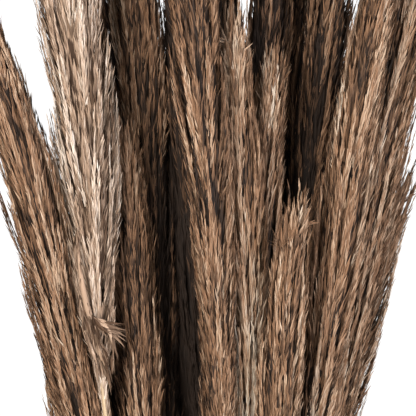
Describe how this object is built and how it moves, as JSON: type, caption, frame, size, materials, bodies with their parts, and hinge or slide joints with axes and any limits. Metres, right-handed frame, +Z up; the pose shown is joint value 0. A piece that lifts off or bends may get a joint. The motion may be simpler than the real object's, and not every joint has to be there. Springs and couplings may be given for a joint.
{
  "type": "dried pampas grass in pottery vase",
  "caption": "Tall bunch of dried brown pampas grass plumes on bare stems, fanning out of a wide-mouthed round-bellied pottery vase with a flat foot.",
  "frame": {"origin": "centre of the vase's flat foot, on the surface it stands on", "axes": "+Z up along the vase's axis, +X to the right and +Y to the back seen from the front"},
  "size_m": [0.5355, 0.3729, 1.24],
  "materials": {
    "stoneware": "matte",
    "stem": "matte",
    "plume": "matte"
  },
  "bodies": {
    "root": {"vase": "stoneware", "stem_01": "stem", "stem_02": "stem", "stem_03": "stem", "stem_04": "stem", "stem_05": "stem", "stem_06": "stem", "stem_07": "stem", "stem_08": "stem", "stem_09": "stem", "stem_10": "stem", "stem_11": "stem", "stem_12": "stem", "stem_13": "stem", "stem_14": "stem", "stem_15": "stem", "stem_16": "stem", "stem_17": "stem", "stem_18": "stem", "stem_19": "stem", "stem_20": "stem", "stem_21": "stem", "stem_22": "stem", "stem_23": "stem", "stem_24": "stem", "stem_25": "stem", "stem_26": "stem", "plume_01": "plume", "plume_02": "plume", "plume_03": "plume", "plume_04": "plume", "plume_05": "plume", "plume_06": "plume", "plume_07": "plume", "plume_08": "plume", "plume_09": "plume", "plume_10": "plume", "plume_11": "plume", "plume_12": "plume", "plume_13": "plume", "plume_14": "plume", "plume_15": "plume", "plume_16": "plume", "plume_17": "plume", "plume_18": "plume", "plume_19": "plume", "plume_20": "plume", "plume_21": "plume", "plume_22": "plume", "plume_23": "plume", "plume_24": "plume", "plume_25": "plume", "plume_26": "plume"}
  },
  "joints": []
}
